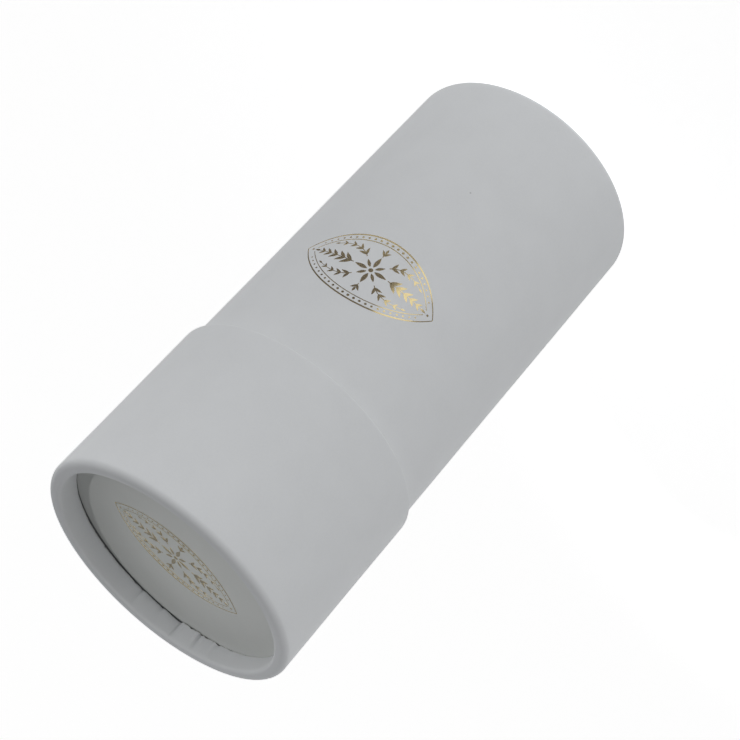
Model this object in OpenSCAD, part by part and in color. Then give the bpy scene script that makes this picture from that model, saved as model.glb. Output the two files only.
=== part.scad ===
// Telescoping paper tube box with rolled rims.
// A wound tube closed by a disc at the bottom is the body, and a wider, shorter one is the lid.
// It stands on the body's rolled rim: +Z is up, and the origin is the centre of that rim's foot.

/* [Box] */
// Height of the closed box, from the foot to the lid's rim
closed_h = 157.5; // [120:0.5:240]
// Outside diameter of the lid
lid_d = 73; // [55:0.5:110]
// Height of the lid, from its mouth to its rim
lid_h = 51; // [35:0.5:90]

/* [Tube walls] */
// Thickness of the lid's wound wall
lid_wall = 1.3; // [0.9:0.1:2.2]
// Thickness of the body's wound wall
body_wall = 1.3; // [0.9:0.1:2.2]
// Gap all round between the lid and the body that slides in it
slide_gap = 0.25; // [0.15:0.05:0.6]
// Gap left over the body's mouth when the lid is pushed home
head_gap = 1.4; // [0.2:0.1:3]

/* [Rolled rims] */
// Depth of the turned-in lip, from the rim to the lip's cut edge
lip_depth = 5.5; // [4:0.1:10]
// Width of the hollow that the roll leaves between wall and lip
roll_hollow = 1.2; // [1:0.1:3]
// Width of the flat land that the roll is pressed to
land_w = 0.9; // [0.4:0.1:1.1]
// Outside radius of the roll's outer bend, which is wider than its inner one
outer_bend = 1.9; // [1.5:0.1:2]

/* [End discs] */
// Thickness of the board discs
disc_t = 1.8; // [1:0.1:3]
// Gap between the lip's cut edge and the disc behind it
lip_gap = 0.4; // [0.1:0.05:0.8]
// Gap all round between a disc and the wall that it is glued in
disc_gap = 0.05; // [0.02:0.01:0.2]

/* [Hidden] */
$fn = 180;
paper_white = [0.74, 0.75, 0.76];
disc_white = [0.71, 0.72, 0.72];

// How far a cutting shape runs past what it cuts
past = 1;
// Smallest radius that paper is bent to
least_bend = 0.2;

lid_r = lid_d / 2;
body_r = lid_r - lid_wall - slide_gap;
lid_mouth_z = closed_h - lid_h;

// Depth of a disc's outer face behind the rim that frames it
disc_depth = lip_depth + lip_gap;
lid_disc_z = closed_h - disc_depth - disc_t;
body_h = lid_disc_z - head_gap;

// Width of a whole roll: the wall, the hollow and the lip, which is as thick as the wall
function roll_w(wall) = 2 * wall + roll_hollow;
// Outside radius of the roll's inner bend, which takes what the land and the outer bend leave
function inner_bend(wall) = max(roll_w(wall) - land_w - outer_bend, least_bend);

// Upright bar in a section, from x0 to x1 and z0 to z1, with its two upper corners rounded
module round_topped_bar(x0, x1, z0, z1, corner_r0, corner_r1) {
    translate([x0, z0]) square([corner_r0, z1 - corner_r0 - z0]);
    translate([x0 + corner_r0, z0]) square([x1 - x0 - corner_r0 - corner_r1, z1 - z0]);
    translate([x1 - corner_r1, z0]) square([corner_r1, z1 - corner_r1 - z0]);
    translate([x0 + corner_r0, z1 - corner_r0]) circle(corner_r0);
    translate([x1 - corner_r1, z1 - corner_r1]) circle(corner_r1);
}

// Section of a wound wall whose upper end is rolled inwards and down into a lip
module rolled_section(outer_r, height, wall) {
    lip_r = outer_r - roll_w(wall);
    wall_r = outer_r - wall;
    difference() {
        round_topped_bar(lip_r, outer_r, 0, height, inner_bend(wall), outer_bend);
        // The hollow inside the roll follows its bends, one wall further in.
        round_topped_bar(lip_r + wall, wall_r, -past, height - wall,
            max(inner_bend(wall) - wall, least_bend), max(outer_bend - wall, least_bend));
        // Below the lip's cut edge only the wall is left.
        translate([lip_r - past, -past])
            square([wall_r - lip_r + past, height - lip_depth + past]);
    }
}

// Tube with its open mouth at z = 0 and its rolled rim at z = height
module rolled_tube(outer_r, height, wall) {
    rotate_extrude() rolled_section(outer_r, height, wall);
}

// Board disc that is glued inside a tube, with its lower face at z = 0
module end_disc(tube_r, wall) {
    cylinder(r = tube_r - wall - disc_gap, h = disc_t);
}

// Long narrow tube that holds the contents and stands on its rolled rim
module body_tube() {
    color(paper_white)
        translate([0, 0, body_h]) rotate([180, 0, 0]) rolled_tube(body_r, body_h, body_wall);
}

// Bottom of the body, set back inside the rim
module body_disc() {
    color(disc_white)
        translate([0, 0, disc_depth]) end_disc(body_r, body_wall);
}

// Short wide tube that slides over the body
module lid_tube() {
    color(paper_white)
        translate([0, 0, lid_mouth_z]) rolled_tube(lid_r, lid_h, lid_wall);
}

// Top of the lid, which comes to rest over the body's mouth
module lid_disc() {
    color(disc_white)
        translate([0, 0, lid_disc_z]) end_disc(lid_r, lid_wall);
}

body_tube();
body_disc();
lid_tube();
lid_disc();
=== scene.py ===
# %% [markdown]
# # A paper tube box
# Two wound paper tubes slide over each other: a long body stands on its rolled foot, and a short lid
# slips over its open mouth. A board disc closes each outer end, set back behind the rolled rim.
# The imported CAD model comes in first, as a fixed frame in metres with +Z up. Every surface below is worked
# out in that frame, so each new piece already lies where the solid that it stands for lies.

import bpy
import numpy as np
from mathutils import Matrix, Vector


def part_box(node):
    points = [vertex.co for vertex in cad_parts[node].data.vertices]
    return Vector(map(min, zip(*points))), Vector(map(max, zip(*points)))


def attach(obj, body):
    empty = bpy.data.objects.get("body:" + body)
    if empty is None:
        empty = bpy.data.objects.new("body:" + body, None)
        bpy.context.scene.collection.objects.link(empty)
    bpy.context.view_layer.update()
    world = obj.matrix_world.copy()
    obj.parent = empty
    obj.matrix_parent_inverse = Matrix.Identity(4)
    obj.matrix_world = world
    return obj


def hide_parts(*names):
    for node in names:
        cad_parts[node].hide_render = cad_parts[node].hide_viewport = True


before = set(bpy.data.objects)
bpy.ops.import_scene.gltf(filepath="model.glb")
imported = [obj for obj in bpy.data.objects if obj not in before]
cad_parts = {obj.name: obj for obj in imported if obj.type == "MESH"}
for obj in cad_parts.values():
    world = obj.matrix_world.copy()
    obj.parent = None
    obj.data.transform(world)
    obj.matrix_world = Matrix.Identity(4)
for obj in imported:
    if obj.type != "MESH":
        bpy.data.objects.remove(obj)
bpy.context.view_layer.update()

# %% [markdown]
# ## Sizes
# Millimetres suit a box that fits in a hand, so the arrays below are in millimetres and turn to metres only
# when a mesh is made. Outer sizes are read from the frame. The section of the rolled rim can't be read from
# a box, so its wall, hollow, land, bend and lip are named here with the values that the solids have. Names
# in capitals are given here. The others are read from the frame or worked out.

# %% Sizes in millimetres
MM = 0.001
lid_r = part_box("lid_tube")[1].x / MM
lid_mouth_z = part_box("lid_tube")[0].z / MM
lid_top_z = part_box("lid_tube")[1].z / MM
body_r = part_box("body_tube")[1].x / MM
body_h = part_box("body_tube")[1].z / MM
lid_disc_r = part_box("lid_disc")[1].x / MM
lid_disc_z = [corner.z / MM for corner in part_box("lid_disc")]
body_disc_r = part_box("body_disc")[1].x / MM
body_disc_z = [corner.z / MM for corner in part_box("body_disc")]

WALL = 1.3
ROLL_HOLLOW = 1.2
LAND_W = 0.9
OUTER_BEND = 1.9
LIP_DEPTH = 5.5
LIP_GAP = 0.4
roll_w = 2 * WALL + ROLL_HOLLOW
inner_bend = roll_w - LAND_W - OUTER_BEND
lid_lip_r = lid_r - roll_w
print(f"lid {2 * lid_r:.1f} mm across, body {2 * body_r:.1f} mm, closed height {lid_top_z:.1f} mm")

# %% [markdown]
# ## From arrays to meshes
# A surface here is a grid of points: one direction runs around the tube, the other along its section.
# Blender could spin a profile with an operator, but a formula on whole arrays keeps every wrinkle under
# control and gives the same mesh on each run. A tube's grid closes on itself both ways, so no edge is open.

# %% Mesh helpers
def scene_object(name, data):
    """An object at the origin that shows a mesh, a camera or a lamp."""
    made = bpy.data.objects.new(name, data)
    bpy.context.scene.collection.objects.link(made)
    return made


def mesh_object(name, points, faces):
    """An object whose mesh has these faces and these points, given in mm."""
    mesh = bpy.data.meshes.new(name)
    mesh.from_pydata((np.asarray(points) * MM).tolist(), [], faces)
    return scene_object(name, mesh)


def box_piece(name, points, faces, body, replaced=(), smooth=True):
    """One piece of the box: a mesh, shaded smooth or flat, that rides on its CAD body."""
    piece = mesh_object(name, points, faces)
    piece.data.polygons.foreach_set("use_smooth", np.full(len(piece.data.polygons), smooth))
    piece.data.update()
    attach(piece, body)
    if replaced:
        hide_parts(*replaced)
    print(f"{name}: {len(points)} points, {len(faces)} faces, rides on {body}")
    return piece


def grid_quads(columns, rows, join_columns=True, join_rows=True):
    """Quads of a grid numbered column by column: (c, r), (c+1, r), (c+1, r+1) and (c, r+1) are one face. The
    last column joins the first, and the last row too, unless that is turned off."""
    c, r = np.meshgrid(np.arange(columns if join_columns else columns - 1),
                       np.arange(rows if join_rows else rows - 1), indexing="ij")
    next_c, next_r = (c + 1) % columns, (r + 1) % rows
    corners = (c * rows + r, next_c * rows + r, next_c * rows + next_r, c * rows + next_r)
    return np.stack(corners, axis=-1).reshape(-1, 4).tolist()


def turned(radius, azimuth, height):
    """Points at a radius, an angle about the axis and a height, as an array of x, y and z."""
    radius, azimuth, height = np.broadcast_arrays(radius, azimuth, height)
    return np.stack((radius * np.cos(azimuth), radius * np.sin(azimuth), height), axis=-1)


print("faces of a closed grid of 5 by 4 points:", len(grid_quads(5, 4)))

# %% [markdown]
# ## The section of a rolled tube
# The wall of wound paper runs up from its cut mouth, bends over a flat land and turns back down as a lip with
# a hollow behind it, like a hairpin. A curve drawn by eye could follow it, but a chain of straight lines and
# arcs has the solids' own sizes, so the paper lies where they are. Points crowd towards the ends of each
# line, so smooth shading stays flat on the walls and tight at the edges.

# %% Section of a rolled tube
PAPER, LINER, BOARD = 0, 1, 2
# Rounds in mm, and the share of lip that its bend takes up.
MOUTH_ROUND, CUT_ROUND, HOLLOW_FOLD = 0.3, 0.12, 0.2
BEND_SHARE = 0.18


def line(start, end, rows):
    """Points from start towards end, crowded at both by a cosine. The end is left out."""
    share = (1 - np.cos(np.pi * np.arange(rows) / rows)) / 2
    return np.outer(1 - share, start) + np.outer(share, end)


def arc(centre, radius, start_deg, end_deg, rows):
    """Points on a circle from one angle towards another, evenly spaced. The last one is left out."""
    angle = np.radians(np.linspace(start_deg, end_deg, rows, endpoint=False))
    return np.column_stack((centre[0] + radius * np.cos(angle), centre[1] + radius * np.sin(angle)))


def rolled_section(outer_r, height):
    """Closed chain of (radius, height) points with the mouth at 0 and the rim at height, and two arrays: the
    finish of each point, and its share of the lip, from 0 at the rim's land to 1 at the lip's cut edge."""
    lip_r, lip_z, under_z = outer_r - roll_w, height - LIP_DEPTH, height - WALL
    behind_r, wall_r, bend_r = lip_r + WALL, outer_r - WALL, outer_r - OUTER_BEND
    hollow_bend = OUTER_BEND - WALL
    # Each run: its finish, the share of lip at its start and at its end, and its points in so many rows.
    chain = [
        (PAPER, 0, 0, line((outer_r, MOUTH_ROUND), (outer_r, height - OUTER_BEND), 14)),
        (PAPER, 0, 0, arc((bend_r, height - OUTER_BEND), OUTER_BEND, 0, 90, 9)),
        (PAPER, 0, 0, line((bend_r, height), (lip_r + inner_bend, height), 2)),
        (PAPER, 0, BEND_SHARE, arc((lip_r + inner_bend, height - inner_bend), inner_bend, 90, 180, 7)),
        (PAPER, BEND_SHARE, 1, line((lip_r, height - inner_bend), (lip_r, lip_z + CUT_ROUND), 14)),
        (BOARD, 1, 1, arc((lip_r + CUT_ROUND, lip_z + CUT_ROUND), CUT_ROUND, 180, 270, 3)),
        (BOARD, 1, 1, line((lip_r + CUT_ROUND, lip_z), (behind_r - CUT_ROUND, lip_z), 3)),
        (BOARD, 1, 1, arc((behind_r - CUT_ROUND, lip_z + CUT_ROUND), CUT_ROUND, 270, 360, 3)),
        (LINER, 1, 0, line((behind_r, lip_z + CUT_ROUND), (behind_r, under_z - HOLLOW_FOLD), 4)),
        (LINER, 0, 0, arc((behind_r + HOLLOW_FOLD, under_z - HOLLOW_FOLD), HOLLOW_FOLD, 180, 90, 3)),
        (LINER, 0, 0, line((behind_r + HOLLOW_FOLD, under_z), (bend_r, under_z), 1)),
        (LINER, 0, 0, arc((bend_r, under_z - hollow_bend), hollow_bend, 90, 0, 4)),
        (LINER, 0, 0, line((wall_r, under_z - hollow_bend), (wall_r, CUT_ROUND), 6)),
        (BOARD, 0, 0, arc((wall_r + CUT_ROUND, CUT_ROUND), CUT_ROUND, 180, 270, 3)),
        (BOARD, 0, 0, line((wall_r + CUT_ROUND, 0), (outer_r - MOUTH_ROUND, 0), 3)),
        (PAPER, 0, 0, arc((outer_r - MOUTH_ROUND, MOUTH_ROUND), MOUTH_ROUND, 270, 360, 5)),
    ]
    points = np.concatenate([run for *_, run in chain])
    finish = np.concatenate([np.full(len(run), kind) for kind, _, _, run in chain])
    lip = np.concatenate([np.linspace(start, end, len(run), endpoint=False) for _, start, end, run in chain])
    return points, finish, lip


lid_section = rolled_section(lid_r, lid_top_z - lid_mouth_z)
print("points in a section:", len(lid_section[0]))

# %% [markdown]
# ## Marks of wrapping
# The printed sheet is wrapped once around the tube. Its end laps over its start in one lengthwise step, which
# the roll turns in as well, and a wall that is wrapped by hand is never quite even. Bump could paint these
# marks, but the step also shows on the outline, so they are moved points here.

# %% Marks of wrapping
# Height in mm, and each wave's count round the tube, mm of height to a radian, and phase.
SWELL_MM, SWELL_WAVES = 0.015, ((3, 21, 0), (5, -17, 1), (2, 9, 2))
# Height of the lap, and the lengths over which it builds up and drops.
LAP_MM, LAP_BUILD_MM, LAP_DROP_MM = 0.14, 4, 0.1


def smooth_step(x):
    """0 below 0, 1 above 1 and an S-shaped rise between."""
    x = np.clip(x, 0, 1)
    return x * x * (3 - 2 * x)


def around(azimuth, place):
    """Signed angle from a place on the tube, between minus half a turn and half a turn."""
    return (azimuth - place + np.pi) % (2 * np.pi) - np.pi


def wall_swell(azimuth, height):
    """Slow unevenness of the wall in mm: three crossing waves around and along, lowered by the most that they
    can add up to, so that it never goes outwards."""
    total = sum(np.sin(count * azimuth + height / rise + phase) for count, rise, phase in SWELL_WAVES)
    return SWELL_MM * (total - len(SWELL_WAVES))


def wrap_step(azimuth, seam, radius):
    """Height of the lapped sheet in mm: it builds up over the lap and drops sharply at the sheet's end."""
    beyond = around(azimuth, seam) * radius
    return LAP_MM * np.exp(np.minimum(beyond, 0) / LAP_BUILD_MM) * smooth_step(1 - beyond / LAP_DROP_MM)


mouth_swell = wall_swell(np.radians(np.arange(360)), 0)
print(f"swell at the mouth: {mouth_swell.min():.3f} to {mouth_swell.max():.3f} mm")

# %% [markdown]
# ## Marks of the roll
# A lip has less room than the wall that it was turned in from, so its edge buckles: fine flutes all round,
# and a few sharp creases that start at the cut edge and die out towards the rim. A noise could crumple the
# lip all over, but real creases run one way and have places of their own, so each one is a short formula.

# %% Marks of the roll
# Height of the flutes in mm, and each one's share of it, count round the tube, and phase.
FLUTE_MM, FLUTES = 0.03, ((0.5, 61, 0), (0.3, 97, 2), (0.2, 143, 1))
# Share of lip at which its cut edge begins to curl.
CURL_FROM = 0.62
# A crease's ridge beside its valley: height as a share of the valley's depth, place and size in widths.
RIDGE_SHARE, RIDGE_AT, RIDGE_SIZE = 0.5, 3.5, 2.5
# Share of lip, just past the cut edge, at which a crease would have its full depth.
CREASE_FULL = 1.05


def waves(azimuth, table):
    """Sum of sines round the tube, each with its height, its count and its phase."""
    return sum(height * np.sin(count * azimuth + phase) for height, count, phase in table)


def lip_buckling(azimuth, lip, lip_r, creases, curl):
    """How far the lip is pushed inwards in mm: fine flutes that grow with the share of lip, a curl outwards
    along the cut edge, and creases. A crease is a valley that falls off by its own width to both sides beside
    a low ridge, and it reaches from the cut edge up to its own share of lip."""
    curled = np.clip((lip - CURL_FROM) / (1 - CURL_FROM), 0, 1) ** 2
    inwards = FLUTE_MM * waves(azimuth, FLUTES) * lip ** 2 - curl * curled
    for place, depth, start, lean, width in creases:
        across = around(azimuth, place + lean * (1 - lip)) * lip_r
        valley = np.exp(-np.abs(across) / width)
        ridge = RIDGE_SHARE * np.exp(-((across - RIDGE_AT * width) / (RIDGE_SIZE * width)) ** 2)
        inwards = inwards + depth * (ridge - valley) * smooth_step((lip - start) / (CREASE_FULL - start))
    return inwards


def scattered_creases(count, seed):
    """Places, depths in mm, starts, leans and widths in mm of creases that are spread evenly round a lip and
    then moved and sized by a seeded draw."""
    draw = np.random.default_rng(seed)
    places = 2 * np.pi * (np.arange(count) + draw.uniform(-0.4, 0.4, count)) / count
    depths = draw.uniform(0.03, 0.12, count)
    starts = draw.uniform(0.45, 0.8, count)
    leans = draw.uniform(-0.03, 0.03, count)
    widths = draw.uniform(0.15, 0.3, count)
    return list(zip(places, depths, starts, leans, widths))


lid_scatter = scattered_creases(23, seed=4)
foot_scatter = scattered_creases(25, seed=9)
print("scattered creases on the lid's lip and the foot's:", len(lid_scatter), len(foot_scatter))

# %% [markdown]
# ## Carrying the section round
# One function makes both tubes: the section is carried once round the axis. Marks of wrapping move a point
# along the section's own normal. Marks of the roll push the lip in or out and its cut edge up or down.
# A Screw modifier could turn the section too, but then every column would be the same.

# %% Carrying the section round
COLUMNS = 1100
DENSE_AT = np.radians(100)


def column_azimuths():
    """Angles of the sections, twice as close on the side whose lip shows: a full turn less half a sine."""
    turn = 2 * np.pi * np.arange(COLUMNS)[:, None] / COLUMNS
    return turn - 0.5 * np.sin(turn - DENSE_AT)


def outward(points):
    """Normals of a closed chain of points: each chord between a point's neighbours, turned by a quarter."""
    chord = np.roll(points, -1, axis=0) - np.roll(points, 1, axis=0)
    chord /= np.linalg.norm(chord, axis=1, keepdims=True)
    return np.column_stack((chord[:, 1], -chord[:, 0]))


def rolled_tube(outer_r, height, seam, creases, lip_edge):
    """Points of a tube, one section per column, and the finish of each face. lip_edge gives, at each azimuth,
    how far the lip's cut edge stands back from its full depth, curls outwards and leans inwards, in mm."""
    section, finish, lip = rolled_section(outer_r, height)
    normal = outward(section)
    azimuth = column_azimuths()
    on_sheet = (finish == PAPER) * (1 - np.abs(normal[:, 1])) ** 2
    on_wall = (finish == PAPER) * (lip == 0) * (normal[:, 0] > 0) * (1 - np.clip(normal[:, 1], 0, 1)) ** 2
    move = wrap_step(azimuth, seam, outer_r) * on_sheet + wall_swell(azimuth, section[:, 1]) * on_wall
    back, curl, lean = lip_edge(azimuth)
    buckled = lip_buckling(azimuth, lip, outer_r - roll_w, creases, curl) + lean * smooth_step(lip)
    radius = section[:, 0] + normal[:, 0] * move - buckled * (lip > 0)
    rise = section[:, 1] + normal[:, 1] * move + back * smooth_step(lip)
    points = turned(radius, azimuth, rise).reshape(-1, 3)
    return points, np.tile(finish, COLUMNS)


spacing = np.diff(column_azimuths()[:, 0]) * lid_r
print(f"sections on the lid are {spacing.min():.2f} to {spacing.max():.2f} mm apart")

# %% [markdown]
# ## The askew disc and the lip above it
# The lid's disc was glued in a little askew: it lies about a millimetre deeper on one side than in the
# middle. The lip's cut edge follows it and leaves a dark gap open on that side, which narrows at both of its
# ends. On the other side the lip sits down on the disc with a ragged cut, and next to the seam a flap of it
# hangs loose and leans inwards. All this could be sculpted by hand. Stretches of the edge, each with an
# amount in millimetres, can be set one by one and come out the same on each run.

# %% The askew disc
ASKEW_MM = 1.15
ASKEW_TOWARDS = np.radians(32)


def disc_rise(x, y):
    """Rise of the lid's disc in mm at a place on it: a plane, ASKEW_MM lower at the lip on its low side."""
    return -ASKEW_MM * (x * np.cos(ASKEW_TOWARDS) + y * np.sin(ASKEW_TOWARDS)) / lid_lip_r


print(f"the disc's rim falls and rises by {-disc_rise(*turned(lid_disc_r, ASKEW_TOWARDS, 0)[:2]):.2f} mm")

# %% The lip above the askew disc
# Stretches of the lip's cut edge, from and to in degrees of azimuth.
OPEN, SEAM_DIP, BESIDE_SEAM = (-33, 111), (81, 111), (80, 109)
LOOSE, FLAP, BESIDE_FLAP = (110, 127), (110, 122), (122, 132)
# Where loose paper lifts most and how far to each side, and from and to where the gap narrows.
LOOSE_MOST_DEG, LOOSE_HALF = 120, np.radians(13)
NARROW_FROM, NARROW_TO = np.radians(50), np.radians(8)
# What the gap loses all along, at its dip and at its narrow end, and how far loose paper lifts, in mm.
OPEN_LESS, DIP_LESS, NARROW_LESS, LOOSE_LIFT = 0.03, 0.22, 0.28, 0.1
# How far the edge curls in mm: anywhere, over the gap, beside the seam and on the foot.
EDGE_CURL, OPEN_CURL, SEAM_CURL, FOOT_CURL = 0.12, 0.28, 0.3, 0.25
# Share of the gap's curl that is lost where it is narrow.
NARROW_UNCURL = 0.6
# How far the flap and the paper beside it lean inwards, in mm.
FLAP_LEAN, BESIDE_FLAP_LEAN = 0.55, 0.3
# Uneven cuts over the gap, where the lip sits on the disc, and on the foot: mm, count and phase of waves.
OPEN_CUT = ((0.03, 17, 0), (0.02, 41, 1), (0.015, 133, 0))
RAGGED_CUT = ((0.015, 211, 0), (0.015, 149, 1), (0.015, 83, 2))
FOOT_CUT = ((0.06, 3, 2), (0.05, 19, 0), (0.03, 37, 0))
# Torn bites out of the edge: place in degrees, height and half width in mm.
BITES = ((60.5, 0.22, 0.3), (115.5, 0.3, 0.5), (124.2, 0.22, 0.4), (131.2, 0.3, 0.6), (140, 0.15, 0.5),
         (149, 0.12, 0.4))


def between(azimuth, start_deg, end_deg, fade_deg=2.0):
    """1 between two azimuths and 0 outside them, with an S-shaped change of fade_deg inside each end."""
    middle, half = (start_deg + end_deg) / 2, (end_deg - start_deg) / 2
    return smooth_step((half - np.abs(np.degrees(around(azimuth, np.radians(middle))))) / fade_deg)


def hump(azimuth, place_deg, half_angle):
    """A bell curve of height 1 at an azimuth, which falls off by a half width in radians."""
    return np.exp(-(around(azimuth, np.radians(place_deg)) / half_angle) ** 2)


def lid_lip_edge(azimuth):
    """The askew disc's own rise at the lip, less what the gap loses on the open side. Elsewhere the edge has
    a ragged cut and comes down by the gap that the solids leave there, less so where it is loose. Bites are
    taken out here and there. The edge curls most over the gap and beside the seam, and the flap leans in."""
    open_side = between(azimuth, *OPEN, fade_deg=4)
    dip = between(azimuth, *SEAM_DIP, fade_deg=6)
    narrow = smooth_step(around(azimuth, NARROW_FROM) / (NARROW_TO - NARROW_FROM))
    loose = LOOSE_LIFT * (hump(azimuth, LOOSE_MOST_DEG, LOOSE_HALF) + between(azimuth, *LOOSE))
    bites = sum(height * hump(azimuth, place, half / lid_lip_r) for place, height, half in BITES)
    over_gap = waves(azimuth, OPEN_CUT) - OPEN_LESS - DIP_LESS * dip - NARROW_LESS * narrow
    on_disc = waves(azimuth, RAGGED_CUT) + loose - LIP_GAP
    back = (disc_rise(lid_lip_r * np.cos(azimuth), lid_lip_r * np.sin(azimuth)) + bites
            + open_side * over_gap + (1 - open_side) * on_disc)
    curl = (EDGE_CURL + OPEN_CURL * open_side * (1 - NARROW_UNCURL * narrow)
            + SEAM_CURL * between(azimuth, *BESIDE_SEAM))
    lean = FLAP_LEAN * between(azimuth, *FLAP) + BESIDE_FLAP_LEAN * between(azimuth, *BESIDE_FLAP)
    return back, curl, lean


def foot_lip_edge(azimuth):
    """The foot's lip is cut in three uneven waves all round, curls a little and doesn't lean."""
    return waves(azimuth, FOOT_CUT), FOOT_CURL, 0.0


edge_back = lid_lip_edge(np.radians(np.arange(360)))[0]
print(f"the lid's lip stands back by {edge_back.min():.2f} to {edge_back.max():.2f} mm")

# %% [markdown]
# ## The two tubes
# The lid's sheet laps where its lip is folded, and the sharpest creases are beside that seam, so they are
# listed one by one. The other creases come from the seeded draw, because no one of them matters by itself.
# The body is the same tube turned over, with its roll at the foot, so it needs no function of its own.

# %% Make the tubes
LID_SEAM, BODY_SEAM = np.radians(109), np.radians(111)
# The fold at the lid's seam and the creases beside it: place in degrees, depth in mm, start as a share of
# lip, lean, and width in mm.
SEAM_CREASES = ((109, 0.5, 0.15, 0.03, 1.6), (109, 0.4, 0.2, 0.03, 0.25), (86.5, 0.6, 0.25, 0.02, 0.45),
                (98.5, 0.5, 0.55, 0.02, 0.4), (118, 0.16, 0.35, 0.02, 0.25), (121.3, 0.42, 0.3, 0.02, 0.3),
                (128.5, 0.2, 0.5, 0.02, 0.3), (132, 0.2, 0.65, 0.02, 0.25), (139, 0.15, 0.75, 0.02, 0.25))
lid_creases = lid_scatter + [(np.radians(place), *rest) for place, *rest in SEAM_CREASES]
quads = grid_quads(COLUMNS, len(lid_section[0]))

points, lid_finish = rolled_tube(lid_r, lid_top_z - lid_mouth_z, LID_SEAM, lid_creases, lid_lip_edge)
raised = points + (0, 0, lid_mouth_z)
lid_skin = box_piece("lid_tube_paper", raised, quads, "lid", ["lid_tube"])

points, body_finish = rolled_tube(body_r, body_h, -BODY_SEAM, foot_scatter, foot_lip_edge)
turned_over = points * (1, -1, -1) + (0, 0, body_h)
body_skin = box_piece("body_tube_paper", turned_over, quads, "body", ["body_tube"])

# %% [markdown]
# ## The two discs
# Each disc is die-cut grey board faced with the same white paper. A ring round the rim of its outer face gets
# a dark grey board colour as painted shade, so the gap between lip and disc looks dark. A disc is a low round
# plate with softened edges, and its face is very slightly uneven from the glue below. Points on the axis
# would all fall together, so each face closes in a small fan of triangles round a single middle point.

# %% Discs
DISC_COLUMNS = 240
# Width of the painted shade ring, round of the edge, radius of the fan in the middle, and unevenness, in mm.
SHADE_RING_W, DISC_EDGE, FAN_R, DISH_MM = 2.15, 0.35, 0.6, 0.03


def disc_plate(radius, low_z, high_z):
    # The ring of painted shade begins at shade_ring_r, so the face gets a row of points there.
    """Points and faces of a plate: rings from the upper middle, over the edge, to the lower middle. The upper
    face is lowered by a wave around times a wave across."""
    shade_ring_r, flat_r = radius - SHADE_RING_W, radius - DISC_EDGE
    chain = np.concatenate((
        line((FAN_R, high_z), (shade_ring_r, high_z), 24),
        line((shade_ring_r, high_z), (flat_r, high_z), 4),
        arc((flat_r, high_z - DISC_EDGE), DISC_EDGE, 90, 0, 5),
        line((radius, high_z - DISC_EDGE), (radius, low_z + DISC_EDGE), 3),
        arc((flat_r, low_z + DISC_EDGE), DISC_EDGE, 0, -90, 5),
        line((flat_r, low_z), (shade_ring_r, low_z), 4),
        line((shade_ring_r, low_z), (FAN_R, low_z), 12),
        [(FAN_R, low_z)]))
    azimuth = 2 * np.pi * np.arange(DISC_COLUMNS)[:, None] / DISC_COLUMNS
    across, rise = chain[:, 0], chain[:, 1]
    dish = DISH_MM * np.sin(2 * azimuth + across / 7) * np.sin(across / 9) - DISH_MM
    height = rise + dish * (across < flat_r) * (rise > (low_z + high_z) / 2)
    # Rows run from the lower middle upwards from here, so that the faces point outwards.
    rings = turned(across, azimuth, height)[:, ::-1].reshape(-1, 3)
    points = np.concatenate((rings, [(0, 0, low_z), (0, 0, height[0, 0])]))
    rows = len(chain)
    first = np.arange(DISC_COLUMNS) * rows
    after = np.roll(first, -1)
    low_fan = np.column_stack((np.full(DISC_COLUMNS, len(rings)), after, first))
    high_fan = np.column_stack((np.full(DISC_COLUMNS, len(rings) + 1), first + rows - 1, after + rows - 1))
    sides = grid_quads(DISC_COLUMNS, rows, join_rows=False)
    return points, sides + low_fan.tolist() + high_fan.tolist()


points, faces = disc_plate(lid_disc_r, *lid_disc_z)
points[:, 2] += disc_rise(points[:, 0], points[:, 1])
lid_plate = box_piece("lid_disc_paper", points, faces, "lid", ["lid_disc"])

points, faces = disc_plate(body_disc_r, *body_disc_z)
body_plate = box_piece("body_disc_paper", points, faces, "body", ["body_disc"])

# %% [markdown]
# ## The foil ornament
# The body's side and the lid's disc are hot-stamped with the same gold ornament: leaf sprays round a star in
# a lens of swelled rules and pearls, as in a printer's stock of ornaments. It is drawn once, flat, in
# millimetres, as strokes: each is a path and a half width along it. A leaf, a pearl and a petal are strokes
# too, with a half width that swells and closes. Curves with a bevel could draw lines, but not leaves.

# %% Strokes of the ornament
LENS_HALF_W, LENS_HALF_H = 20.0, 10.6
lens_r = (LENS_HALF_W ** 2 + LENS_HALF_H ** 2) / (2 * LENS_HALF_H)
lens_tip = np.arcsin(LENS_HALF_W / lens_r)
LEAF_ROWS, PEARL_ROWS, RULE_ROWS, STEM_ROWS = 14, 13, 81, 33
# Power that moves a leaf's fullest place towards its base, and least half widths in mm.
LEAF_FULL, LEAF_LEAST_W, PEARL_LEAST_W = 0.85, 0.02, 0.01


def bezier(start, pull, end, rows):
    """Points on a curve that leaves start towards pull and comes in to end from there."""
    u = np.linspace(0, 1, rows)[:, None]
    return (1 - u) ** 2 * np.array(start) + 2 * u * (1 - u) * np.array(pull) + u ** 2 * np.array(end)


def leaf(base, direction, length, width, curl=0.0):
    """A leaf: a midrib bent to one side by curl, and a half width like a sine, fullest near its base."""
    along = np.array([np.cos(direction), np.sin(direction)]) * length
    side = np.array([-along[1], along[0]])
    path = bezier(base, base + along / 2 + side * curl, base + along, LEAF_ROWS)
    u = np.linspace(0, 1, LEAF_ROWS)
    return path, LEAF_LEAST_W + width / 2 * np.sin(np.pi * u ** LEAF_FULL)


def pearl(centre, radius):
    """A round dot: a short path whose half width follows a circle."""
    angle = np.linspace(0, np.pi, PEARL_ROWS)
    path = np.array(centre) + np.column_stack((-radius * np.cos(angle), np.zeros(PEARL_ROWS)))
    return path, PEARL_LEAST_W + radius * np.sin(angle)


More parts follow.
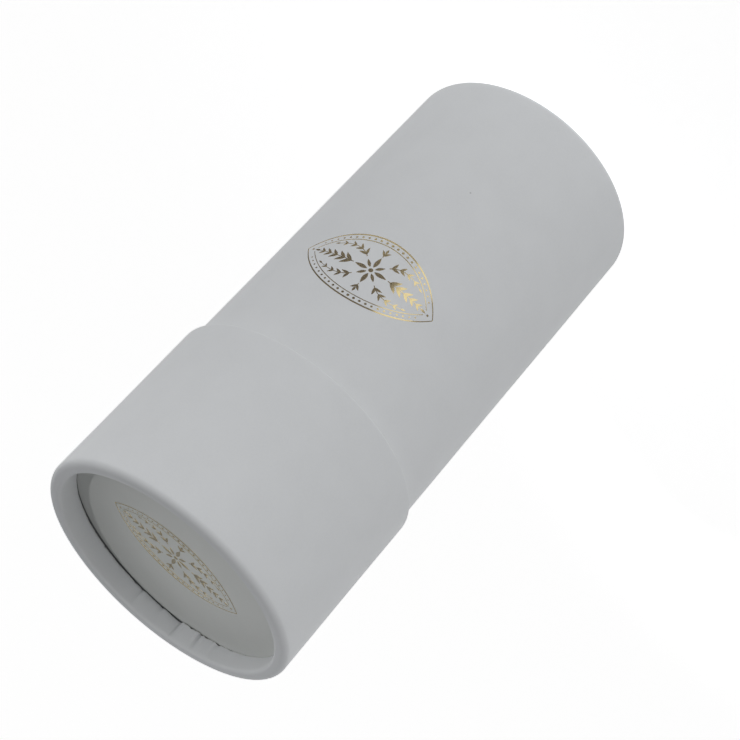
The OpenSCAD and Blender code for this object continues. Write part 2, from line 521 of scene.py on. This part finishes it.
def on_lens(angle, inset):
    """Points on the lens's upper side, moved in by inset: an arc about a centre one lens_r below its top."""
    radius = lens_r - inset
    return np.stack((radius * np.sin(angle), radius * np.cos(angle) - lens_r + LENS_HALF_H), axis=-1)


def lens_rule(inset, middle_w, end_w, reach):
    """A rule along one side of the lens, inset from it, that swells like a cosine towards its middle."""
    angle = np.linspace(-reach * lens_tip, reach * lens_tip, RULE_ROWS)
    swell = np.cos(angle / (reach * lens_tip) * np.pi / 2)
    return on_lens(angle, inset), end_w + (middle_w - end_w) * swell


print(f"the lens is {2 * LENS_HALF_W:.1f} by {2 * LENS_HALF_H:.1f} mm, with sides of radius {lens_r:.1f} mm")

# %% [markdown]
# Leaves on a stem stand in pairs that get shorter towards the tip, at one angle to it. A spray is therefore a
# short loop over pairs of leaves, and the whole ornament a loop over mirrored copies of one quarter, so that
# it looks the same either way up.

# %% Sprays and star
# Half widths of a stem in mm, and where a pair of leaves stands in its share of it.
STEM_FOOT_W, STEM_TIP_W, PAIR_AT = 0.13, 0.06, 0.35
# A leaf's angle to its stem, its curl and width as shares of its length, and the bud's shares of a leaf.
LEAF_ANGLE, LEAF_CURL, LEAF_WIDTH = 0.66, 0.13, 0.3
BUD_LENGTH, BUD_WIDTH = 0.9, 0.32
# Petals in mm: where they start, and length and width of both kinds.
PETAL_FOOT_R, LONG_PETAL, SHORT_PETAL = 1.1, (3.6, 1.1), (2.6, 0.8)
# Pearls in mm: in the star, at the tips, and in the row between the rules, which tapers.
STAR_PEARL_R, TIP_PEARL_R = 0.62, 0.3
PEARL_INSET, PEARL_R, PEARL_TAPER = 0.98, 0.36, 0.2


def spray(start, pull, end, pairs, long_leaf, short_leaf):
    """A stem with pairs of leaves that get shorter towards the tip, and a bud at its end."""
    stem = bezier(start, pull, end, STEM_ROWS)
    strokes = [(stem, np.linspace(STEM_FOOT_W, STEM_TIP_W, STEM_ROWS))]
    for pair in range(pairs):
        at = int((STEM_ROWS - 1) * (pair + PAIR_AT) / pairs)
        heading = np.arctan2(*(stem[at + 1] - stem[at])[::-1])
        length = long_leaf + (short_leaf - long_leaf) * pair / max(pairs - 1, 1)
        for side in (1, -1):
            strokes.append(leaf(stem[at], heading + side * LEAF_ANGLE, length, LEAF_WIDTH * length,
                                -side * LEAF_CURL))
    tip = np.arctan2(*(stem[-1] - stem[-2])[::-1])
    strokes.append(leaf(stem[-1], tip, short_leaf * BUD_LENGTH, BUD_WIDTH * short_leaf))
    return strokes


def star():
    """A pearl and eight petals round it, long and short in turn."""
    strokes = [pearl((0, 0), STAR_PEARL_R)]
    for k in range(8):
        heading = k * np.pi / 4
        foot = PETAL_FOOT_R * np.array([np.cos(heading), np.sin(heading)])
        strokes.append(leaf(foot, heading, *(SHORT_PETAL if k % 2 else LONG_PETAL)))
    return strokes


def ornament():
    """All strokes: the star, then what lies on an axis or in a quarter, with its mirrored copies."""
    half = spray((5.2, 0.0), (10.5, 0.0), (15.8, 0.0), 5, 3.2, 1.8) + [pearl((18.2, 0.0), TIP_PEARL_R)]
    upper = spray((0.0, 5.1), (0.0, 5.7), (0.0, 6.4), 1, 2.0, 1.8)
    upper += [lens_rule(0, 0.22, 0.1, 1.0), lens_rule(1.8, 0.12, 0.08, 0.9)]
    pearl_angles = np.linspace(-0.8, 0.8, 23) * lens_tip
    upper += [pearl(on_lens(angle, PEARL_INSET), PEARL_R - PEARL_TAPER * abs(angle))
              for angle in pearl_angles]
    quarter = spray((3.4, 3.3), (6.6, 6.4), (12.2, 4.0), 4, 2.3, 1.4)
    strokes = star()
    for flip in (1, -1):
        strokes += [(path * (flip, 1), half_width) for path, half_width in half]
        strokes += [(path * (1, flip), half_width) for path, half_width in upper]
        for side in (1, -1):
            strokes += [(path * (flip, side), half_width) for path, half_width in quarter]
    return strokes


strokes = ornament()
print("strokes in the ornament:", len(strokes))

# %% [markdown]
# ## Stamping the foil
# Each stroke becomes a very low bar: four points across, lowest at its buried edges and flat on top. Bars
# from the flat drawing are then laid on the surface: wrapped round the body, where a length along the drawing
# becomes an angle, or set on the lid's disc. A mask in the paper's material could colour the same places, but
# a separate film of metal keeps that material simple and its edges sharp.

# %% Foil bars
# Height of the film, depth of its buried edges and width of its bevel, in mm.
FOIL_RISE, FOIL_SINK, FOIL_BEVEL = 0.025, 0.012, 0.012


def foil_bar(path, half_width):
    """Points (along, across, height) and faces of a stroke: its path, half its width to both sides."""
    ahead = np.gradient(path, axis=0)
    ahead /= np.linalg.norm(ahead, axis=1, keepdims=True)
    side = np.column_stack((-ahead[:, 1], ahead[:, 0]))
    reach = half_width[:, None] * np.array([-1, -1, 1, 1]) + FOIL_BEVEL * np.array([-1, 0, 0, 1])
    flat = path[:, None, :] + side[:, None, :] * reach[:, :, None]
    height = np.broadcast_to(np.array([-FOIL_SINK, FOIL_RISE, FOIL_RISE, -FOIL_SINK]), reach.shape)
    points = np.concatenate((flat, height[:, :, None]), axis=2).reshape(-1, 3)
    last = len(points) - 1
    ends = [[0, 1, 2, 3], [last, last - 1, last - 2, last - 3]]
    return points, grid_quads(len(path), 4, join_columns=False) + ends


def stamped(strokes):
    """All strokes as one array of flat points and one list of faces."""
    points, faces, count = [], [], 0
    for path, half_width in strokes:
        bar, bar_faces = foil_bar(path, half_width)
        points.append(bar)
        faces += (np.array(bar_faces) + count).tolist()
        count += len(bar)
    return np.concatenate(points), faces


flat, foil_faces = stamped(strokes)
print("points in the flat foil:", len(flat))

# %% Lay the foil on the box
PRINT_AZIMUTH, PRINT_Z = np.radians(-90 + 20.9), 74.5
DISC_PRINT_AT, DISC_PRINT_TURN = (0.8, 1.2), np.radians(2.7)

azimuth = PRINT_AZIMUTH + flat[:, 0] / body_r
height = PRINT_Z + flat[:, 1]
# The body was turned over, so its swell is asked for at the mirrored place.
side_r = body_r + wall_swell(-azimuth, body_h - height) + flat[:, 2]
side_points = turned(side_r, azimuth, height)
side_foil = box_piece("side_foil", side_points, foil_faces, "body", smooth=False)

turn = np.array([[np.cos(DISC_PRINT_TURN), np.sin(DISC_PRINT_TURN)],
                 [-np.sin(DISC_PRINT_TURN), np.cos(DISC_PRINT_TURN)]])
disc_xy = flat[:, :2] @ turn + DISC_PRINT_AT
disc_points = np.column_stack((disc_xy, lid_disc_z[1] + disc_rise(*disc_xy.T) + flat[:, 2]))
disc_foil = box_piece("disc_foil", disc_points, foil_faces, "lid", smooth=False)

# %% [markdown]
# ## Materials
# Each finish starts from what it is on the box: matt laminated art paper outside, plain liner paper inside,
# cut board where the plies show, and hot-stamped foil. Colours are written as sRGB hex and turned to linear
# values by one function. Patterns could sit on a UV map, but on Object coordinates, sized in millimetres,
# they stay on the surface with nothing to unwrap.

# %% Material helpers
def linear(hex_colour):
    """Linear RGBA from sRGB hex: each channel through the standard curve."""
    srgb = np.array([int(hex_colour[i:i + 2], 16) for i in (1, 3, 5)]) / 255
    channels = np.where(srgb <= 0.04045, srgb / 12.92, ((srgb + 0.055) / 1.055) ** 2.4)
    return (*channels.tolist(), 1.0)


def add(tree, kind, inputs, **settings):
    """Adds a node of a kind, named without the leading ShaderNode. Settings are its properties. An input
    takes a value, a socket to be linked, or a node, whose first output is linked."""
    made = tree.nodes.new("ShaderNode" + kind)
    for name, value in settings.items():
        setattr(made, name, value)
    for socket, value in inputs.items():
        if isinstance(value, bpy.types.Node):
            value = value.outputs[0]
        if isinstance(value, bpy.types.NodeSocket):
            tree.links.new(value, made.inputs[socket])
        else:
            made.inputs[socket].default_value = value
    return made


def new_material(name):
    """A material with no nodes yet, and its node tree."""
    material = bpy.data.materials.new(name)
    material.use_nodes = True
    material.node_tree.nodes.clear()
    return material, material.node_tree


def grain(millimetres):
    """Scale of a noise whose features are about this size."""
    return 1 / (millimetres * MM)


print("scale of a noise with grains of half a millimetre:", grain(0.5))

# %% [markdown]
# Art paper with a matt film is even and slightly cool, with a broad soft sheen. A faint cloudiness and the
# fibres under the film keep it from looking like plastic. One grey fleck lies in the body's sheet. The liner
# inside has no film, so it is warmer, rougher and without sheen. A plain colour with a roughness would be
# quicker, but it looks moulded. Real fibres are finer than a pixel here, so the bump is drawn a little
# coarser than life.

# %% Paper materials
CLOUD_MM, ROUGH_SPREAD = 9, 0.06
# Light and shaded colour, roughness, and size and rise of the fibres in mm.
MATT_FILM = ("#C9CBCD", "#BEC0C2", 0.58, 0.5, 0.004)
DISC_FILM = ("#CACCCA", "#BEC1BE", 0.6, 0.5, 0.004)
LINER_SHEET = ("#D6D5D1", "#C6C5C0", 0.88, 0.7, 0.012)
# The fleck's colour, how much of it shows, and the radius of its core and its edge.
FLECK_HEX, FLECK_SHARE, FLECK_CORE, FLECK_EDGE = "#77787A", 0.6, 0.12 * MM, 0.3 * MM
FLECK_AZIMUTH, FLECK_Z = np.radians(-90 + 12.0), 38.07


def paper(name, light_hex, shade_hex, roughness, fibre_mm, fibre_rise, fleck=None):
    """Paper: a cloudy mix of two near colours, fibre bump, and roughness that follows the fibres."""
    material, tree = new_material(name)
    place = add(tree, "TexCoord", {}).outputs["Object"]
    cloud = add(tree, "TexNoise", {"Vector": place, "Scale": grain(CLOUD_MM), "Detail": 3.0})
    fibre = add(tree, "TexNoise", {"Vector": place, "Scale": grain(fibre_mm), "Detail": 4.0,
                                   "Roughness": 0.6})
    blend = add(tree, "Math", {0: cloud, 1: fibre}, operation="MULTIPLY")
    shades = {0: blend, 6: linear(light_hex), 7: linear(shade_hex)}
    colour = add(tree, "Mix", shades, data_type="RGBA").outputs[2]
    if fleck is not None:
        away = add(tree, "VectorMath", {0: place, 1: fleck}, operation="DISTANCE")
        mask = add(tree, "MapRange", {"Value": away.outputs["Value"], "From Min": FLECK_CORE,
                                      "From Max": FLECK_EDGE, "To Min": FLECK_SHARE, "To Max": 0.0})
        shades = {0: mask, 6: colour, 7: linear(FLECK_HEX)}
        colour = add(tree, "Mix", shades, data_type="RGBA").outputs[2]
    rough = add(tree, "MapRange", {"Value": fibre, "To Min": roughness - ROUGH_SPREAD,
                                   "To Max": roughness + ROUGH_SPREAD})
    bump = add(tree, "Bump", {"Height": fibre, "Distance": fibre_rise * MM})
    shader = add(tree, "BsdfPrincipled", {"Base Color": colour, "Roughness": rough, "IOR": 1.5,
                                          "Specular IOR Level": 0.25, "Normal": bump})
    add(tree, "OutputMaterial", {"Surface": shader})
    return material


fleck_at = turned(body_r * MM, FLECK_AZIMUTH, FLECK_Z * MM).tolist()
matt_paper = paper("matt_laminated_art_paper", *MATT_FILM)
body_paper = paper("matt_laminated_art_paper_body", *MATT_FILM, fleck=fleck_at)
disc_paper = paper("matt_laminated_disc_paper", *DISC_FILM)
liner_paper = paper("uncoated_liner_paper", *LINER_SHEET)
print("paper materials:", [made.name for made in (matt_paper, body_paper, disc_paper, liner_paper)])

# %% [markdown]
# Where the tube is cut, its wound plies show as fine pale lines round the edge. The same lines in a darker,
# dull grey make the painted shade on each disc's rim ring, which darkens the gap under the lip. A Wave
# texture could draw rings too. A sine of the distance to the axis takes the ply's own thickness in
# millimetres, and it serves mouths, lips and discs alike.

# %% Board materials
# Size of fibres and depth of bump in mm, and how much ply lines show beside the fibres.
BOARD_FIBRE_MM, BOARD_BUMP_MM, PLY_SHARE = 0.4, 0.02, 0.25


def cut_board(name, dark_hex, light_hex, ply_mm):
    """Board with ply lines: a sine of the distance from the axis, roughened by fibre noise."""
    material, tree = new_material(name)
    place = add(tree, "TexCoord", {}).outputs["Object"]
    flat_place = add(tree, "VectorMath", {0: place, 1: (1, 1, 0)}, operation="MULTIPLY")
    radius = add(tree, "VectorMath", {0: flat_place}, operation="LENGTH")
    fibre = add(tree, "TexNoise", {"Vector": place, "Scale": grain(BOARD_FIBRE_MM), "Detail": 4.0})
    turns = add(tree, "Math", {0: radius.outputs["Value"], 1: 2 * np.pi / (ply_mm * MM)},
                operation="MULTIPLY")
    wave = add(tree, "Math", {0: turns}, operation="SINE")
    rough_wave = add(tree, "Math", {0: wave, 1: PLY_SHARE, 2: fibre}, operation="MULTIPLY_ADD")
    shades = {0: rough_wave, 6: linear(dark_hex), 7: linear(light_hex)}
    colour = add(tree, "Mix", shades, data_type="RGBA").outputs[2]
    bump = add(tree, "Bump", {"Height": rough_wave, "Distance": BOARD_BUMP_MM * MM})
    shader = add(tree, "BsdfPrincipled", {"Base Color": colour, "Roughness": 0.9, "IOR": 1.5,
                                          "Normal": bump})
    add(tree, "OutputMaterial", {"Surface": shader})
    return material


board = cut_board("cut_board_edge", "#C6C6C3", "#D6D6D2", ply_mm=0.26)
# Dark grey board colour, painted on a ring of each disc as shade for the gap under the lip.
gap_shade_board = cut_board("painted_gap_shade_board", "#7B7D7F", "#8C8E90", ply_mm=0.5)
print("board materials:", board.name, gap_shade_board.name)

# %% [markdown]
# Hot-stamped foil is a vapour-coated metal film: a mirror with a slight haze, whose colour is all in its
# reflection. A yellow paint with a gloss coat would stay yellow in the shade. Metallic 1 with a low roughness
# goes from bright to dark with what it mirrors, and a very low noise lets the glints break up.

# %% Foil material
# Size and depth in mm of the unevenness that pressing leaves.
PRESS_MM, PRESS_BUMP_MM = 1.2, 0.011


def stamped_foil(name, gold_hex, roughness):
    """Gold film: a full metal with a fine uneven surface from the paper under it."""
    material, tree = new_material(name)
    place = add(tree, "TexCoord", {}).outputs["Object"]
    press = add(tree, "TexNoise", {"Vector": place, "Scale": grain(PRESS_MM), "Detail": 2.0})
    bump = add(tree, "Bump", {"Height": press, "Distance": PRESS_BUMP_MM * MM})
    shader = add(tree, "BsdfPrincipled", {"Base Color": linear(gold_hex), "Metallic": 1.0,
                                          "Roughness": roughness, "Normal": bump})
    add(tree, "OutputMaterial", {"Surface": shader})
    return material


gold = stamped_foil("hot_stamped_gold_foil", "#E7D4A0", roughness=0.2)
print("foil material:", gold.name)

# %% [markdown]
# A tube shows three finishes: paper outside, liner inside and board where it is cut. They could be painted by
# hand in Edit Mode, but the section already knows the finish of each of its points, so it is repeated round
# the tube as the faces' material index. On a disc's outer face, a ring at the rim gets the dark grey board
# colour: painted shade for the gap under the lip.

# %% Hand out the materials
# A disc's face looks out of the box where its normal points outwards by more than this.
LOOKS_OUT = 0.5

for skin, paper_outside, finish in ((lid_skin, matt_paper, lid_finish), (body_skin, body_paper, body_finish)):
    for material in (paper_outside, liner_paper, board):
        skin.data.materials.append(material)
    skin.data.polygons.foreach_set("material_index", finish.astype(np.int32))
for plate, radius, outwards in ((lid_plate, lid_disc_r, 1), (body_plate, body_disc_r, -1)):
    for material in (disc_paper, gap_shade_board):
        plate.data.materials.append(material)
    centres, normals = np.empty((2, 3 * len(plate.data.polygons)), dtype=np.float32)
    plate.data.polygons.foreach_get("center", centres)
    plate.data.polygons.foreach_get("normal", normals)
    # Outer faces within SHADE_RING_W of the rim get the dark board colour: painted shade for the gap under
    # the lip.
    in_shade_ring = np.hypot(centres[0::3], centres[1::3]) > (radius - SHADE_RING_W) * MM
    painted_shade_faces = in_shade_ring & (normals[2::3] * outwards > LOOKS_OUT)
    plate.data.polygons.foreach_set("material_index", painted_shade_faces.astype(np.int32))
for foil in (side_foil, disc_foil):
    foil.data.materials.append(gold)

# %% [markdown]
# ## Camera
# The camera looks down on the lid's end at about thirty degrees and is rolled by more than a quarter turn, so
# the standing box lies across the picture. It could be aimed by a Track To constraint, but that leaves the
# roll open. Its place follows from the distance, the elevation, the roll and the small offset of the box's
# middle from the picture's centre, and its lens from the focal length in pixels.

# %% Camera
IMAGE_PX, FOCAL_PX, SENSOR_MM = 740, 1911.2, 36.0
ELEVATION, ROLL = np.radians(29.794), np.radians(138.112)
# Distance and offset of the box's middle, in mm.
DISTANCE, OFFSET_RIGHT, OFFSET_DOWN = 497.62, -3.832, -1.462


def placed(name, data, place, right, up, back):
    """A camera or lamp at a place in metres, whose own axes point right, up and back."""
    made = scene_object(name, data)
    pose = np.eye(4)
    pose[:3, :3] = np.column_stack((right, up, back))
    pose[:3, 3] = place
    made.matrix_world = Matrix(pose.tolist())
    return made


back = np.array([0, -np.cos(ELEVATION), np.sin(ELEVATION)])
right = np.array([1.0, 0, 0])
down = -np.cross(right, -back)
image_right = np.cos(ROLL) * right + np.sin(ROLL) * down
image_down = -np.sin(ROLL) * right + np.cos(ROLL) * down
middle = np.array([0, 0, lid_top_z / 2])
eye = middle - OFFSET_RIGHT * image_right - OFFSET_DOWN * image_down + DISTANCE * back

camera_data = bpy.data.cameras.new("camera")
camera_data.sensor_width = SENSOR_MM
camera_data.lens = FOCAL_PX / IMAGE_PX * SENSOR_MM
camera_data.clip_start = 0.01
camera_data.clip_end = 50.0
bpy.context.scene.camera = placed("camera", camera_data, eye * MM, image_right, -image_down, back)
print("camera at", (eye * MM).round(4).tolist(), "lens", round(camera_data.lens, 2))

# %% [markdown]
# ## Floor and world
# A white floor carries the box and its shadow. Rays that show it, straight or in a reflection, also get a
# share of plain white, so that it runs into the background. For all other rays it is a light table that glows
# a little, most in front of the box, so the upright side is lit from below its middle and the lid's end stays
# dimmer. Area lamps under the box would do the same, but a floor would be in their way.

# %% Floor
WHITE = (1.0, 1.0, 1.0, 1.0)
FLOOR_REACH = 5000.0
# Plain white that shown rays get.
FLOOR_GLOW = 0.7
# The light table's glow: its mean, how much it gains towards x and y, and its least.
TABLE_GLOW, TABLE_TILT, LEAST_TABLE_GLOW = 0.39, (0.11, -0.4, 0.0), 0.26


def shown_ray(tree):
    """1 for rays from the camera, reflections and transmission, 0 for the rest."""
    ray = add(tree, "LightPath", {}).outputs
    first = add(tree, "Math", {0: ray["Is Camera Ray"], 1: ray["Is Glossy Ray"]}, operation="MAXIMUM")
    return add(tree, "Math", {0: first, 1: ray["Is Transmission Ray"]}, operation="MAXIMUM")


def stage_piece(name, points, faces, material):
    """A mesh that belongs to the set and not to the box."""
    made = mesh_object(name, points, faces)
    made.data.materials.append(material)
    return made


floor_white, tree = new_material("matt_white_floor")
diffuse = add(tree, "BsdfDiffuse", {"Color": linear("#F0F0F0")})
place = add(tree, "TexCoord", {}).outputs["Object"]
heading = add(tree, "VectorMath", {0: place}, operation="NORMALIZE")
lean = add(tree, "VectorMath", {0: heading, 1: TABLE_TILT}, operation="DOT_PRODUCT")
sloped = add(tree, "Math", {0: lean.outputs["Value"], 1: TABLE_GLOW}, operation="ADD")
table = add(tree, "Math", {0: sloped, 1: LEAST_TABLE_GLOW}, operation="MAXIMUM")
strength = add(tree, "Mix", {0: shown_ray(tree), 2: table, 3: FLOOR_GLOW})
glow = add(tree, "Emission", {"Color": WHITE, "Strength": strength})
lit = add(tree, "AddShader", {0: diffuse, 1: glow})
add(tree, "OutputMaterial", {"Surface": lit})
floor_white.cycles.emission_sampling = "NONE"
floor_corners = [(x * FLOOR_REACH, y * FLOOR_REACH, 0) for x, y in ((-1, -1), (1, -1), (1, 1), (-1, 1))]
stage_piece("floor", floor_corners, [(0, 1, 2, 3)], floor_white)
print("floor made")

# %% [markdown]
# The world stands in for white walls, which light a white box softly from all sides. It is brightest at the
# horizon, most of all behind the box, so that its back isn't left in the dark, and it is dark at the zenith.
# An even world would be simpler, but it would light the lid's end too much.

# %% World
# Glow at the horizon, and the Z of a direction at which it has died out.
WALL_GLOW, WALL_TOP = 1.27, 0.85
# Y of a direction past which the wall behind the box gets brighter, and how many times.
BACK_FROM, BACK_GAIN = 0.55, 1.7

world = bpy.data.worlds.new("studio")
bpy.context.scene.world = world
world.use_nodes = True
tree = world.node_tree
tree.nodes.clear()
towards = add(tree, "SeparateXYZ", {0: add(tree, "TexCoord", {}).outputs["Generated"]})
level = add(tree, "MapRange", {"Value": towards.outputs["Z"], "From Max": WALL_TOP,
                               "To Min": WALL_GLOW, "To Max": 0.0})
behind = add(tree, "MapRange", {"Value": towards.outputs["Y"], "From Min": BACK_FROM,
                                "To Min": 1.0, "To Max": BACK_GAIN})
walls = add(tree, "Math", {0: level, 1: behind}, operation="MULTIPLY")
fill = add(tree, "Background", {"Color": WHITE, "Strength": walls})
backdrop = add(tree, "Background", {"Color": WHITE, "Strength": 1.0})
seen = add(tree, "MixShader", {0: shown_ray(tree), 1: fill, 2: backdrop})
add(tree, "OutputWorld", {"Surface": seen})
print("world made")

# %% [markdown]
# ## Lamp and flags
# One lamp, high up on the right, is narrowed to a beam that reaches only the lid's end. There the near lip
# throws its soft curved shadow on the disc. An area lamp up there would also draw a shadow under the lid's
# mouth, which the real box doesn't have, so it is a spot.

# %% Lamp
# Place, aim and radius of the lamp are in metres.
LAMP_AT, LAMP_AIM = np.array([0.616, -0.2, 1.092]), np.array([-0.03, 0.01, lid_disc_z[1] * MM])
BEAM_DEG, BEAM_BLEND, LAMP_RADIUS, LAMP_WATTS = 4.6, 0.45, 0.06, 22.5

lamp = bpy.data.lights.new("high_lamp", "SPOT")
lamp.spot_size = np.radians(BEAM_DEG)
lamp.spot_blend = BEAM_BLEND
lamp.shadow_soft_size = LAMP_RADIUS
lamp.energy = LAMP_WATTS
away = LAMP_AT - LAMP_AIM
away = away / np.linalg.norm(away)
across = np.cross((0, 0, 1), away)
across = across / np.linalg.norm(across)
placed("high_lamp", lamp, LAMP_AT, across, np.cross(away, across), away)
print("lamp at", LAMP_AT.tolist())

# %% [markdown]
# Cool grey flags, seen by nothing but reflections, stand where the foil mirrors them, as a photographer sets
# dark card to give metal its deep tones. A darker gold would lose its shine instead. In the narrow gap
# between the flags the foil mirrors the bright wall and shines.

# %% Flags
FLAG_COLUMNS = 40
# Colour, first and last azimuth in degrees, radius, lowest and highest point in mm.
FLAGS = {
    "right_flag": ("#58586B", -76, 10, 110, 12, 54),
    "left_flag": ("#58586B", -122, -100, 110, 12, 54),
    "behind_flag": ("#7B8092", 30, 150, 300, 180, 480),
}


def curved_flag(name, grey_hex, start_deg, end_deg, radius, low_z, high_z):
    """A card bent round the box: a strip of a cylinder between two azimuths and two heights."""
    material, tree = new_material(name + "_card")
    shade = add(tree, "Emission", {"Color": linear(grey_hex)})
    add(tree, "OutputMaterial", {"Surface": shade})
    azimuth = np.radians(np.linspace(start_deg, end_deg, FLAG_COLUMNS))
    rows = np.stack((turned(radius, azimuth, low_z), turned(radius, azimuth, high_z)), axis=1)
    faces = grid_quads(FLAG_COLUMNS, 2, join_columns=False, join_rows=False)
    flag = stage_piece(name, rows.reshape(-1, 3), faces, material)
    flag.visible_camera = False
    flag.visible_diffuse = False
    flag.visible_transmission = False
    flag.visible_shadow = False


for name, shape in FLAGS.items():
    curved_flag(name, *shape)
print("flags made:", list(FLAGS))

# %% [markdown]
# ## View transform
# The plain view transform shows a lit colour as it is, where a filmic one would grey the white.

# %% View transform
bpy.context.scene.view_settings.view_transform = "Standard"
